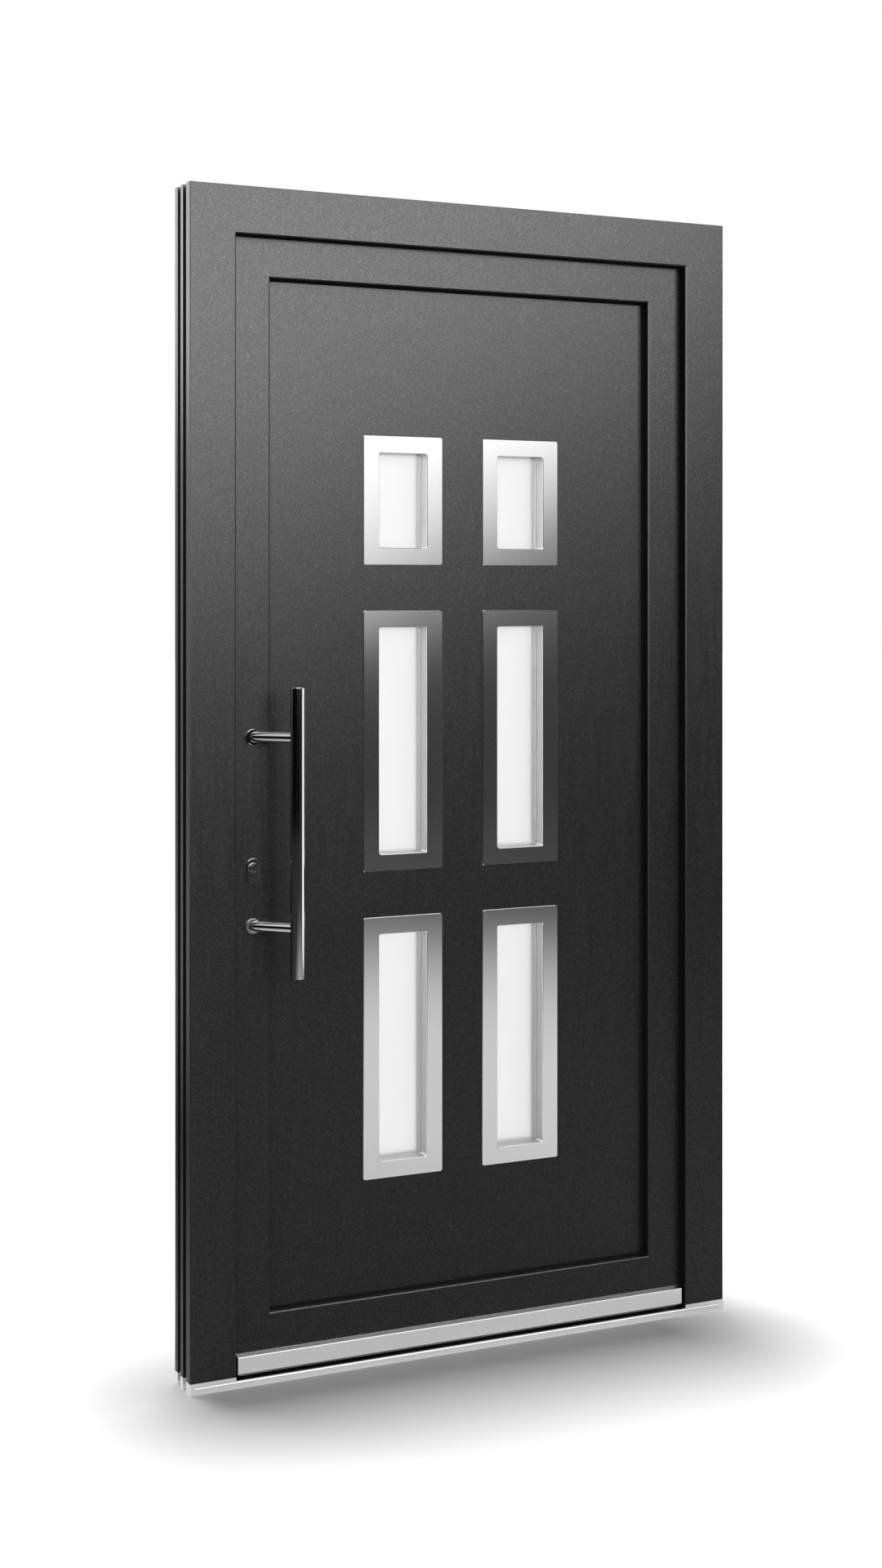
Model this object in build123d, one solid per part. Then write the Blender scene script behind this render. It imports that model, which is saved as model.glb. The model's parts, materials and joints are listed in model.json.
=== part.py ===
"""Entrance door with one inward-opening leaf in a plastic frame on a low metal threshold.

All sizes are in millimetres. X runs across the door, +Y points indoors and +Z up.
The origin lies on the threshold's underside, mid-way across and mid-way through the frame.
Depths are counted inwards from the frame's outdoor face.
The leaf hangs on three hinges at +X and has its pull bar and lock at -X.
"""
from build123d import *
import os

# Overall size of the frame
FRAME_WIDTH = 1085
FRAME_HEIGHT = 2100
FRAME_DEPTH = 82

# Frame profile
FRAME_FACE = 85
LIP_THICKNESS = 16
EDGE_RADIUS = 3
BACK_RADIUS = 1.5
GROOVE_DEPTH = 8
FRONT_FIN = 20
MIDDLE_FIN = 13
BACK_FIN = 16
FRONT_GROOVE = 17.5

# Fit of the leaf in the frame
SEAL_DEPTH = 5
SEAL_GAP = 0.3
SEAL_NOSE = 2
SEAL_SEAT = 9
FLANGE_SEAL_INSET = 1.5
FLANGE_SEAL_WIDTH = 5
FOOT_SEAL_WIDTH = 8
FOOT_SEAL_SIDE_GAP = 5.5
LEAF_OVERLAP = 12.5
HARDWARE_GAP = 12
FLANGE_OVERLAP = 8
FLANGE_GAP = 5

# Leaf profile
LEAF_FACE = 71
LEAF_DEPTH = 82
GLAZING_LIP = 16
GLAZING_BITE = 18
LOCK_GROOVE_WIDTH = 16
LOCK_GROOVE_DEPTH = 3
LOCK_GROOVE_START = 31
LEAF_RAIL_BASE = 34
LEAF_FOOT = 25

# Infill panel
PANEL_THICKNESS = 48
PANEL_SKIN = 2.5
PANEL_EDGE_GAP = 5
GLAZING_SEAL = 4
GLAZING_SEAL_NOSE = 3.5
GLAZING_SEAL_EDGE = 1
GLAZING_SEAL_SEAT = 8
BEAD_NOSE = 4
BEAD_SLOPE = 5

# Windows in the panel, listed from the top row down
WINDOW_WIDTH = 158
WINDOW_GAP = 82.5
TOP_ROW_HEIGHT = 235
FIRST_ROW_DROP = 270
LAST_ROW_RISE = 206.5
TRIM_FACE = 31
TRIM_THICKNESS = 2
TRIM_WALL = 2
TRIM_BEVEL = 0.8
TRIM_CORNER = 4.5
OPENING_CORNER = 4
TRIM_PLAY = 1

# Sealed glass units
PANE = 4
SPACER_DEPTH = 14
SPACER_WIDTH = 7
SPACER_SET_BACK = 0.5
GLASS_BITE = 8
GLASS_PLAY = 1
REVEAL_DEPTH = 25.5

# Threshold
JAMB_FOOT = 20
THRESHOLD_HEIGHT = 13
THRESHOLD_END_WALL = 9.5
THRESHOLD_RADIUS = 3.5
THRESHOLD_OUTER = 36
THRESHOLD_BREAK = 12
THRESHOLD_UPSTAND = 15
UPSTAND_WIDTH = 10
BREAK_DROP = 1

# Weather bar on the leaf
BAR_SIDE_GAP = 5.5
BAR_PROJECTION = 15
BAR_TOP = 53.5
BAR_FALL = 2.2
BAR_FRONT_FOOT = 23
BAR_DRIP_FOOT = 21
BAR_WALL = 3
BAR_BACK_FOOT = 36
BAR_RADIUS = 2

# Pull handle
PULL_CENTRE = 968
PULL_POST_SPACING = 333
PULL_LENGTH = 510
PULL_RADIUS = 13
PULL_STAND_OFF = 61
PULL_CHAMFER = 1.5
POST_RADIUS = 9.5
ROSETTE_RADIUS = 14
ROSETTE_THICKNESS = 5
ROSETTE_BEVEL = 1

# Lock
LOCK_BACKSET = 50
CYLINDER_HEIGHT = 905
CYLINDER_RADIUS = 8.5
CYLINDER_TAB = 10
CYLINDER_DROP = 24.5
CYLINDER_PROUD = 3
CYLINDER_PLAY = 0.5
CYLINDER_BEVEL = 1
ESCUTCHEON_HEIGHT = 46.5
ESCUTCHEON_WIDTH = 23.5
ESCUTCHEON_DROP = 7
ESCUTCHEON_THICKNESS = 4
ESCUTCHEON_BEVEL = 1
SPINDLE_RISE = 92
INNER_PLATE_WIDTH = 32
INNER_PLATE_HEIGHT = 240
INNER_PLATE_THICKNESS = 10
INNER_PLATE_CORNER = 8
INNER_PLATE_BEVEL = 2.5
LEVER_WIDTH = 18
LEVER_HEIGHT = 20
LEVER_GRIP = 14
LEVER_STAND_OFF = 54
LEVER_LENGTH = 125
LEVER_BEND = 18
LEVER_END_RADIUS = 6
LEVER_BEVEL = 3.5
LOCK_STRIP_MARGIN = 110
BOLT_SLOT_WIDTH = 10
BOLT_SLOT_HEIGHT = 40
KEEP_THICKNESS = 2.5
KEEP_WIDTH = 24
KEEP_LEAD_IN = 1.5
END_KEEP_LENGTH = 90
MIDDLE_KEEP_LENGTH = 220
LOWER_KEEP = 290
UPPER_KEEP_DROP = 257.5

# Hinges
LOWER_HINGE = 230
UPPER_HINGE_DROP = 177.5
HINGE_REACH = 12
HINGE_STAND_OFF = 9
HINGE_HEIGHT = 100
KNUCKLE_RADIUS = 9
KNUCKLE_GAP = 0.5
LEAF_KNUCKLE = 40
PIN_RADIUS = 4
PIN_CLEARANCE = 0.1
HINGE_PLATE = 4
HINGE_PLATE_CORNER = 5
HINGE_WEB = 13
LEAF_PLATE_WIDTH = 40
LEAF_PLATE_INSET = 5
FRAME_PLATE_WIDTH = 33
FRAME_PLATE_INSET = 3

# Places worked out from the sizes above
FRONT = -FRAME_DEPTH / 2
HALF_WIDTH = FRAME_WIDTH / 2
LEAF_FRONT = LIP_THICKNESS + SEAL_DEPTH
LEAF_BACK = LEAF_FRONT + LEAF_DEPTH
REBATE = FRAME_FACE - LEAF_OVERLAP - HARDWARE_GAP
FLANGE = HARDWARE_GAP + FLANGE_OVERLAP
LEAF_WIDTH = FLANGE + LEAF_OVERLAP + LEAF_FACE
FLANGE_FRONT = FRAME_DEPTH + FLANGE_GAP
LEAF_SIDE = HALF_WIDTH - FRAME_FACE + LEAF_OVERLAP + FLANGE
LEAF_TOP = FRAME_HEIGHT - FRAME_FACE + LEAF_OVERLAP + FLANGE
LEAF_BASE = LEAF_RAIL_BASE - FLANGE
PANEL_FRONT = LEAF_FRONT + GLAZING_LIP + GLAZING_SEAL
PANEL_BACK = PANEL_FRONT + PANEL_THICKNESS
PANEL_SIDE = LEAF_SIDE - LEAF_WIDTH + GLAZING_BITE - PANEL_EDGE_GAP
PANEL_LOW = LEAF_BASE + LEAF_WIDTH - GLAZING_BITE + PANEL_EDGE_GAP
PANEL_HIGH = LEAF_TOP - LEAF_WIDTH + GLAZING_BITE - PANEL_EDGE_GAP
GLASS_FRONT = PANEL_FRONT - TRIM_THICKNESS + REVEAL_DEPTH
GLASS_BACK = GLASS_FRONT + 2 * PANE + SPACER_DEPTH
OPENING_TOP = LEAF_TOP - LEAF_WIDTH
OPENING_FOOT = LEAF_BASE + LEAF_WIDTH
ROWS_SPAN = OPENING_TOP - FIRST_ROW_DROP - OPENING_FOOT - LAST_ROW_RISE
TALL_ROW_HEIGHT = (ROWS_SPAN - TOP_ROW_HEIGHT - 2 * WINDOW_GAP) / 2
ROW_HEIGHTS = {"top": TOP_ROW_HEIGHT, "middle": TALL_ROW_HEIGHT, "bottom": TALL_ROW_HEIGHT}
DOORWAY_SIDE = HALF_WIDTH - FRAME_FACE
LOCK_X = -LEAF_SIDE + FLANGE + LOCK_BACKSET
HINGE_X = LEAF_SIDE + HINGE_REACH
HINGE_DEPTH = LEAF_BACK + HINGE_STAND_OFF
UPPER_HINGE = LEAF_TOP - UPPER_HINGE_DROP
HINGE_HEIGHTS = {"lower": LOWER_HINGE, "middle": (LOWER_HINGE + UPPER_HINGE) / 2, "upper": UPPER_HINGE}
UPPER_KEEP = LEAF_TOP - UPPER_KEEP_DROP
LATCH_HEIGHT = CYLINDER_HEIGHT + SPINDLE_RISE
MIDDLE_KEEP = (CYLINDER_HEIGHT + LATCH_HEIGHT) / 2
BOLT_DEPTH = LEAF_FRONT + LOCK_GROOVE_START + LOCK_GROOVE_WIDTH / 2
BOLT_HEIGHTS = [LOWER_KEEP, CYLINDER_HEIGHT, LATCH_HEIGHT, UPPER_KEEP]

FRAME_RING = (-HALF_WIDTH, HALF_WIDTH, JAMB_FOOT - FRAME_WIDTH, FRAME_HEIGHT)
LEAF_RING = (-LEAF_SIDE, LEAF_SIDE, LEAF_BASE, LEAF_TOP)


def y_at(depth):
    """Y of the plane that lies this deep behind the frame's outdoor face."""
    return FRONT + depth


def block(x_range, depth_range, z_range):
    """Box between two X, two depths and two heights."""
    size = (x_range[1] - x_range[0], depth_range[1] - depth_range[0], z_range[1] - z_range[0])
    centre = (sum(x_range) / 2, y_at(sum(depth_range) / 2), sum(z_range) / 2)
    return Pos(*centre) * Box(*size)


def plate(outline, depth_range):
    """Flat outline drawn in X and Z, thickened between two depths."""
    plane = Plane((0, y_at(depth_range[1]), 0), x_dir=(1, 0, 0), z_dir=(0, -1, 0))
    return extrude(plane * outline, amount=depth_range[1] - depth_range[0])


def along_x(outline, x_range):
    """Outline drawn in depth and height, run between two X."""
    plane = Plane((x_range[0], FRONT, 0), x_dir=(0, 1, 0), z_dir=(1, 0, 0))
    return extrude(plane * outline, amount=x_range[1] - x_range[0])


def upright(outline, z_range):
    """Outline drawn in X and depth, run between two heights."""
    plane = Plane((0, FRONT, z_range[0]), x_dir=(1, 0, 0), z_dir=(0, 0, 1))
    return extrude(plane * outline, amount=z_range[1] - z_range[0])


def shape(points):
    """Face inside a closed run of straight lines."""
    return make_face(Polyline(*points, close=True))


def member(section, side, ring):
    """One mitred side of a rectangular ring, from its section in inset and depth."""
    left, right, low, high = ring
    places = {
        "lock": ((left, FRONT, low), (1, 0, 0), (0, 0, 1), high - low),
        "hinge": ((right, FRONT, high), (-1, 0, 0), (0, 0, -1), high - low),
        "top": ((left, FRONT, high), (0, 0, -1), (1, 0, 0), right - left),
        "bottom": ((right, FRONT, low), (0, 0, 1), (-1, 0, 0), right - left),
    }
    origin, inwards, onwards, length = places[side]
    run = extrude(Plane(origin, x_dir=inwards, z_dir=onwards) * section, amount=length)
    reach = (right - left) / 2
    wedges = {
        "lock": [(left, low), (left, high), (left + reach, high - reach), (left + reach, low + reach)],
        "hinge": [(right, low), (right - reach, low + reach), (right - reach, high - reach), (right, high)],
        "top": [(left, high), (right, high), (right - reach, high - reach)],
        "bottom": [(left, low), (left + reach, low + reach), (right, low)],
    }
    return run & plate(shape(wedges[side]), (-FRAME_DEPTH, 3 * FRAME_DEPTH))


def frame_section():
    """Frame profile: a lip over the leaf, a deep body, and three fins on its outer side."""
    section = shape([
        (0, 0),
        (FRAME_FACE, 0),
        (FRAME_FACE, LIP_THICKNESS),
        (REBATE, LIP_THICKNESS),
        (REBATE, FRAME_DEPTH),
        (0, FRAME_DEPTH),
    ])
    section = fillet(section.vertices().group_by(Axis.Y)[0], EDGE_RADIUS)
    section = fillet(section.vertices().group_by(Axis.Y)[-1], BACK_RADIUS)
    for start, end in fin_grooves():
        section -= Pos(0, start) * Rectangle(GROOVE_DEPTH, end - start, align=(Align.MIN, Align.MIN))
    return section


def fin_grooves():
    """Depths between which the two grooves of the frame's outer side run."""
    middle = FRONT_FIN + FRONT_GROOVE
    return [(FRONT_FIN, middle), (middle + MIDDLE_FIN, FRAME_DEPTH - BACK_FIN)]


def frame_member(side):
    """Jamb or head of the frame, cut off square where a jamb stands on the threshold."""
    above = block((-FRAME_WIDTH, FRAME_WIDTH), (-FRAME_DEPTH, 2 * FRAME_DEPTH), (JAMB_FOOT, 2 * FRAME_HEIGHT))
    return member(frame_section(), side, FRAME_RING) & above


def frame_gasket():
    """Rubber seal on the back of the frame's lip, up both jambs and across the head."""
    back = LIP_THICKNESS + SEAL_DEPTH - SEAL_GAP
    section = shape([
        (FRAME_FACE - SEAL_SEAT, LIP_THICKNESS),
        (FRAME_FACE - SEAL_GAP, LIP_THICKNESS),
        (FRAME_FACE + SEAL_NOSE, back - SEAL_NOSE / 2),
        (FRAME_FACE + SEAL_NOSE, back),
        (FRAME_FACE - SEAL_SEAT, back),
    ])
    above = block((-FRAME_WIDTH, FRAME_WIDTH), (0, FRAME_DEPTH), (JAMB_FOOT, FRAME_HEIGHT))
    runs = [member(section, side, FRAME_RING) & above for side in ("lock", "hinge", "top")]
    return runs[0] + runs[1] + runs[2]


def leaf_section():
    """Leaf profile: glazing lip outdoors, hardware groove on the edge, flange indoors."""
    rebate = LEAF_WIDTH - GLAZING_BITE
    section = shape([
        (FLANGE, LEAF_FRONT),
        (LEAF_WIDTH, LEAF_FRONT),
        (LEAF_WIDTH, LEAF_FRONT + GLAZING_LIP),
        (rebate, LEAF_FRONT + GLAZING_LIP),
        (rebate, LEAF_BACK),
        (0, LEAF_BACK),
        (0, FLANGE_FRONT),
        (FLANGE, FLANGE_FRONT),
    ])
    section = fillet(section.vertices().group_by(Axis.Y)[0], EDGE_RADIUS)
    section = fillet(section.vertices().sort_by(Axis.X)[0:2], EDGE_RADIUS)
    groove = Rectangle(LOCK_GROOVE_DEPTH, LOCK_GROOVE_WIDTH, align=(Align.MIN, Align.MIN))
    return section - Pos(FLANGE, LEAF_FRONT + LOCK_GROOVE_START) * groove


def leaf_member(side):
    """Stile or rail of the leaf, with the flange cut back above the threshold."""
    above = block((-FRAME_WIDTH, FRAME_WIDTH), (0, 2 * FRAME_DEPTH), (LEAF_FOOT, FRAME_HEIGHT))
    return member(leaf_section(), side, LEAF_RING) & above


def lock_stile():
    """Leaf stile with the through hole for the lock cylinder."""
    hole = plate(cylinder_outline(CYLINDER_PLAY), (0, 2 * FRAME_DEPTH))
    return leaf_member("lock") - hole


def flange_seal():
    """Rubber seal on the leaf's indoor flange, closing on the back of the frame."""
    front = FRAME_DEPTH + SEAL_GAP
    section = shape([
        (FLANGE_SEAL_INSET, FLANGE_FRONT),
        (FLANGE_SEAL_INSET, front + SEAL_NOSE),
        (FLANGE_SEAL_INSET + SEAL_NOSE, front),
        (FLANGE_SEAL_INSET + FLANGE_SEAL_WIDTH, front),
        (FLANGE_SEAL_INSET + FLANGE_SEAL_WIDTH, FLANGE_FRONT),
    ])
    above = block((-FRAME_WIDTH, FRAME_WIDTH), (0, 2 * FRAME_DEPTH), (LEAF_FOOT, FRAME_HEIGHT))
    runs = [member(section, side, LEAF_RING) & above for side in ("lock", "hinge", "top")]
    return runs[0] + runs[1] + runs[2]


def foot_seal():
    """Rubber seal under the leaf, closing on the threshold's upstand."""
    half = DOORWAY_SIDE - FOOT_SEAL_SIDE_GAP
    middle = FRAME_DEPTH - UPSTAND_WIDTH / 2
    depth_range = (middle - FOOT_SEAL_WIDTH / 2, middle + FOOT_SEAL_WIDTH / 2)
    return block((-half, half), depth_range, (THRESHOLD_UPSTAND + SEAL_GAP, LEAF_RAIL_BASE))


def glazing_gasket():
    """Rubber seal between the leaf's outdoor lip and the panel."""
    front = LEAF_FRONT + GLAZING_LIP
    section = shape([
        (LEAF_WIDTH - GLAZING_SEAL_SEAT, front),
        (LEAF_WIDTH - SEAL_GAP, front),
        (LEAF_WIDTH + GLAZING_SEAL_NOSE, PANEL_FRONT - GLAZING_SEAL_EDGE),
        (LEAF_WIDTH + GLAZING_SEAL_NOSE, PANEL_FRONT),
        (LEAF_WIDTH - GLAZING_SEAL_SEAT, PANEL_FRONT),
    ])
    runs = [member(section, side, LEAF_RING) for side in ("lock", "hinge", "top", "bottom")]
    return runs[0] + runs[1] + runs[2] + runs[3]


def bead(side):
    """Glazing bead that holds the panel from indoors."""
    section = shape([
        (LEAF_WIDTH - GLAZING_BITE, PANEL_BACK),
        (LEAF_WIDTH, PANEL_BACK),
        (LEAF_WIDTH, PANEL_BACK + BEAD_NOSE),
        (LEAF_WIDTH - BEAD_SLOPE, LEAF_BACK),
        (LEAF_WIDTH - GLAZING_BITE, LEAF_BACK),
    ])
    return member(section, side, LEAF_RING)


def window_places():
    """Name, centre and height of each window, two columns of three rows."""
    column = (WINDOW_WIDTH + WINDOW_GAP) / 2
    places = []
    high = OPENING_TOP - FIRST_ROW_DROP
    for row, height in ROW_HEIGHTS.items():
        for side, x in (("lock", -column), ("hinge", column)):
            places.append((f"{row}_{side}", row, x, high - height / 2, height))
        high -= height + WINDOW_GAP
    return places


def window_outline(x, z, height, inset, corner=0):
    """Rectangle set in from a window's outer edge, with its corners rounded where it shows."""
    width = WINDOW_WIDTH - 2 * inset
    if corner:
        return Pos(x, z) * RectangleRounded(width, height - 2 * inset, corner)
    return Pos(x, z) * Rectangle(width, height - 2 * inset)


def panel_layer(depth_range, front_holes):
    """One layer of the panel with its window holes."""
    outline = Pos(0, (PANEL_LOW + PANEL_HIGH) / 2) * Rectangle(2 * PANEL_SIDE, PANEL_HIGH - PANEL_LOW)
    inset = TRIM_FACE - TRIM_WALL - TRIM_PLAY if front_holes else TRIM_FACE - GLASS_BITE - GLASS_PLAY
    for name, row, x, z, height in window_places():
        outline -= window_outline(x, z, height, inset)
    return plate(outline, depth_range)


def panel_core():
    """Foam core, with a shoulder in each window hole that the glass stands against."""
    front = panel_layer((PANEL_FRONT + PANEL_SKIN, GLASS_FRONT), True)
    return front + panel_layer((GLASS_FRONT, PANEL_BACK - PANEL_SKIN), False)


def outer_trim(x, z, height):
    """Outdoor metal trim: a bevelled face round the window and a sleeve in to the glass."""
    outer = window_outline(x, z, height, 0, TRIM_CORNER)
    sleeve = window_outline(x, z, height, TRIM_FACE - TRIM_WALL)
    opening = window_outline(x, z, height, TRIM_FACE, OPENING_CORNER)
    face = plate(outer - opening, (PANEL_FRONT - TRIM_THICKNESS, PANEL_FRONT))
    face = chamfer(face.edges().group_by(Axis.Y)[0], TRIM_BEVEL)
    return face + plate(sleeve - opening, (PANEL_FRONT, GLASS_FRONT))


def inner_trim(x, z, height):
    """Indoor metal trim, mitred square at its corners, whose sleeve holds the sealed unit."""
    outer = window_outline(x, z, height, 0)
    sleeve = window_outline(x, z, height, TRIM_FACE - TRIM_WALL)
    opening = window_outline(x, z, height, TRIM_FACE)
    face = plate(outer - opening, (PANEL_BACK, PANEL_BACK + TRIM_THICKNESS))
    face = chamfer(face.edges().group_by(Axis.Y)[-1], TRIM_BEVEL)
    return face + plate(sleeve - opening, (GLASS_BACK, PANEL_BACK))


def pane(x, z, height, front):
    """One sheet of a sealed unit."""
    return plate(window_outline(x, z, height, TRIM_FACE - GLASS_BITE), (front, front + PANE))


def spacer(x, z, height):
    """Bar between the two sheets of a sealed unit, all round."""
    inner = window_outline(x, z, height, TRIM_FACE - SPACER_SET_BACK)
    outer = window_outline(x, z, height, TRIM_FACE - SPACER_SET_BACK - SPACER_WIDTH)
    front = GLASS_FRONT + PANE
    return plate(outer - inner, (front, front + SPACER_DEPTH))


def threshold_outer():
    """Outdoor half of the threshold, with a rounded nose and a plain tread."""
    section = shape([(0, 0), (THRESHOLD_OUTER, 0), (THRESHOLD_OUTER, THRESHOLD_HEIGHT), (0, THRESHOLD_HEIGHT)])
    return threshold_run(rounded_at(section, (0, THRESHOLD_HEIGHT), THRESHOLD_RADIUS))


def threshold_break():
    """Plastic strip that parts the threshold's two metal halves."""
    top = THRESHOLD_HEIGHT - BREAK_DROP
    end = THRESHOLD_OUTER + THRESHOLD_BREAK
    return threshold_run(shape([(THRESHOLD_OUTER, 0), (end, 0), (end, top), (THRESHOLD_OUTER, top)]))


def threshold_inner():
    """Indoor half of the threshold, with the upstand that the leaf's seal runs over."""
    start = THRESHOLD_OUTER + THRESHOLD_BREAK
    section = shape([
        (start, 0),
        (FRAME_DEPTH, 0),
        (FRAME_DEPTH, THRESHOLD_UPSTAND),
        (FRAME_DEPTH - UPSTAND_WIDTH, THRESHOLD_UPSTAND),
        (FRAME_DEPTH - UPSTAND_WIDTH, THRESHOLD_HEIGHT),
        (start, THRESHOLD_HEIGHT),
    ])
    return threshold_run(section)


def threshold_run(section):
    """Threshold extrusion, cut to length between the walls of the two end blocks."""
    half = HALF_WIDTH - THRESHOLD_END_WALL
    return along_x(section, (-half, half))


def end_block(side):
    """Metal block under a jamb, stepped over the threshold's end, with the jamb's fins."""
    wall = HALF_WIDTH - THRESHOLD_END_WALL
    step = FRAME_DEPTH - UPSTAND_WIDTH
    solid = block((DOORWAY_SIDE, HALF_WIDTH), (0, FRAME_DEPTH), (0, JAMB_FOOT))
    solid -= block((DOORWAY_SIDE, wall), (0, step), (0, THRESHOLD_HEIGHT))
    solid -= block((DOORWAY_SIDE, wall), (step, FRAME_DEPTH), (0, THRESHOLD_UPSTAND))
    for start, end in fin_grooves():
        solid -= block((HALF_WIDTH - GROOVE_DEPTH, HALF_WIDTH), (start, end), (0, JAMB_FOOT))
    return solid if side > 0 else mirror(solid, Plane.YZ)


def weather_bar():
    """Metal drip bar across the foot of the leaf, hollow below and closed at its ends."""
    front = LEAF_FRONT - BAR_PROJECTION
    half = DOORWAY_SIDE - BAR_SIDE_GAP
    outer = [
        (LEAF_FRONT, BAR_TOP),
        (front, BAR_TOP - BAR_FALL),
        (front, BAR_FRONT_FOOT),
        (front + BAR_WALL, BAR_FRONT_FOOT),
        (front + BAR_WALL, BAR_DRIP_FOOT),
        (front + 2 * BAR_WALL, BAR_DRIP_FOOT),
    ]
    under = [
        (front + 2 * BAR_WALL, BAR_TOP - BAR_FALL - BAR_WALL),
        (LEAF_FRONT - BAR_WALL, BAR_TOP - BAR_FALL - BAR_WALL),
        (LEAF_FRONT - BAR_WALL, BAR_BACK_FOOT),
    ]
    nose = (front, BAR_TOP - BAR_FALL)
    channel = rounded_at(shape(outer + under + [(LEAF_FRONT, BAR_BACK_FOOT)]), nose, BAR_RADIUS)
    cap = rounded_at(shape(outer + [(LEAF_FRONT, BAR_BACK_FOOT)]), nose, BAR_RADIUS)
    bar = along_x(channel, (-half, half))
    bar += along_x(cap, (-half, -half + BAR_WALL))
    return bar + along_x(cap, (half - BAR_WALL, half))


def rounded_at(section, corner, radius):
    """Section with its corner nearest to a point rounded."""
    nearest = section.vertices().sort_by_distance((corner[0], corner[1], 0))[0]
    return fillet(nearest, radius)


def pull_handle():
    """Round bar on two slanted posts, welded into one piece."""
    bar_x = LOCK_X + PULL_STAND_OFF
    bar_depth = LEAF_FRONT - PULL_STAND_OFF
    bar = Pos(bar_x, y_at(bar_depth), PULL_CENTRE) * Cylinder(PULL_RADIUS, PULL_LENGTH)
    bar = chamfer(bar.edges().filter_by(GeomType.CIRCLE), PULL_CHAMFER)
    face = LEAF_FRONT - ROSETTE_THICKNESS
    outdoors = block((-FRAME_WIDTH, FRAME_WIDTH), (-FRAME_DEPTH * 2, face), (0, FRAME_HEIGHT))
    for z in post_heights():
        foot = (LOCK_X - PULL_STAND_OFF, y_at(LEAF_FRONT + PULL_STAND_OFF), z)
        slant = Plane(foot, x_dir=(0, 0, 1), z_dir=(1, -1, 0))
        post = extrude(slant * Circle(POST_RADIUS), amount=2 * PULL_STAND_OFF * 2 ** 0.5)
        bar += post & outdoors
    return bar


def post_heights():
    """Heights of the pull handle's two posts."""
    return [PULL_CENTRE - PULL_POST_SPACING / 2, PULL_CENTRE + PULL_POST_SPACING / 2]


def rosette(z):
    """Round cover plate between a post and the leaf."""
    disc = plate(Pos(LOCK_X, z) * Circle(ROSETTE_RADIUS), (LEAF_FRONT - ROSETTE_THICKNESS, LEAF_FRONT))
    return chamfer(disc.edges().group_by(Axis.Y)[0], ROSETTE_BEVEL)


def cylinder_outline(play):
    """Profile of the lock cylinder, a round head over a narrow tab, with room round it."""
    head = Pos(LOCK_X, CYLINDER_HEIGHT) * Circle(CYLINDER_RADIUS + play)
    tab_end = CYLINDER_HEIGHT - CYLINDER_DROP + CYLINDER_TAB / 2
    tab = Pos(LOCK_X, (CYLINDER_HEIGHT + tab_end) / 2) * Rectangle(
        CYLINDER_TAB + 2 * play, CYLINDER_HEIGHT - tab_end)
    return head + tab + Pos(LOCK_X, tab_end) * Circle(CYLINDER_TAB / 2 + play)


def lock_cylinder():
    """Lock cylinder through the stile, its round heads a little proud at both ends."""
    front = LEAF_FRONT - ESCUTCHEON_THICKNESS
    back = LEAF_BACK + INNER_PLATE_THICKNESS
    body = plate(cylinder_outline(0), (LEAF_FRONT, back))
    outline = Pos(LOCK_X, CYLINDER_HEIGHT) * Circle(CYLINDER_RADIUS)
    head = plate(outline, (front - CYLINDER_PROUD, back + CYLINDER_PROUD))
    ends = head.edges().group_by(Axis.Y)
    return body + chamfer(ends[0] + ends[-1], CYLINDER_BEVEL)


def outer_escutcheon():
    """Oval cover over the cylinder, outdoors, open at its round head only."""
    centre = (LOCK_X, CYLINDER_HEIGHT - ESCUTCHEON_DROP)
    straight = ESCUTCHEON_HEIGHT - ESCUTCHEON_WIDTH
    outline = Pos(*centre) * Rot(0, 0, 90) * SlotCenterToCenter(straight, ESCUTCHEON_WIDTH)
    solid = plate(outline, (LEAF_FRONT - ESCUTCHEON_THICKNESS, LEAF_FRONT))
    solid = chamfer(solid.edges().group_by(Axis.Y)[0], ESCUTCHEON_BEVEL)
    hole = Pos(LOCK_X, CYLINDER_HEIGHT) * Circle(CYLINDER_RADIUS + CYLINDER_PLAY / 2)
    return solid - plate(hole, (0, LEAF_FRONT))


def inner_plate():
    """Long plate behind the indoor lever, with the cylinder's hole."""
    low = CYLINDER_HEIGHT - CYLINDER_DROP - (INNER_PLATE_WIDTH - CYLINDER_TAB)
    centre = (LOCK_X, low + INNER_PLATE_HEIGHT / 2)
    outline = Pos(*centre) * RectangleRounded(INNER_PLATE_WIDTH, INNER_PLATE_HEIGHT, INNER_PLATE_CORNER)
    back = LEAF_BACK + INNER_PLATE_THICKNESS
    solid = plate(outline, (LEAF_BACK, back))
    solid = chamfer(solid.edges().group_by(Axis.Y)[-1], INNER_PLATE_BEVEL)
    return solid - plate(cylinder_outline(CYLINDER_PLAY / 2), (0, back))


def inner_lever():
    """Lever handle indoors: a neck out of the plate and a flat grip bent towards the hinges."""
    foot = LEAF_BACK + INNER_PLATE_THICKNESS
    back = foot + LEVER_STAND_OFF
    left = LOCK_X - LEVER_WIDTH / 2
    right = LOCK_X + LEVER_WIDTH / 2
    end = LOCK_X + LEVER_LENGTH
    inside = (right, back - LEVER_GRIP)
    outline = shape([(left, foot), (right, foot), inside, (end, inside[1]), (end, back), (left, back)])
    outline = rounded_at(outline, (left, back), LEVER_BEND)
    outline = rounded_at(outline, inside, LEVER_BEND - LEVER_GRIP / 2)
    for corner in ((end, back), (end, inside[1])):
        outline = rounded_at(outline, corner, LEVER_END_RADIUS)
    solid = upright(outline, (LATCH_HEIGHT - LEVER_HEIGHT / 2, LATCH_HEIGHT + LEVER_HEIGHT / 2))
    rims = solid.edges().group_by(Axis.Z)
    return chamfer(rims[0] + rims[-1], LEVER_BEVEL)


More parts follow.
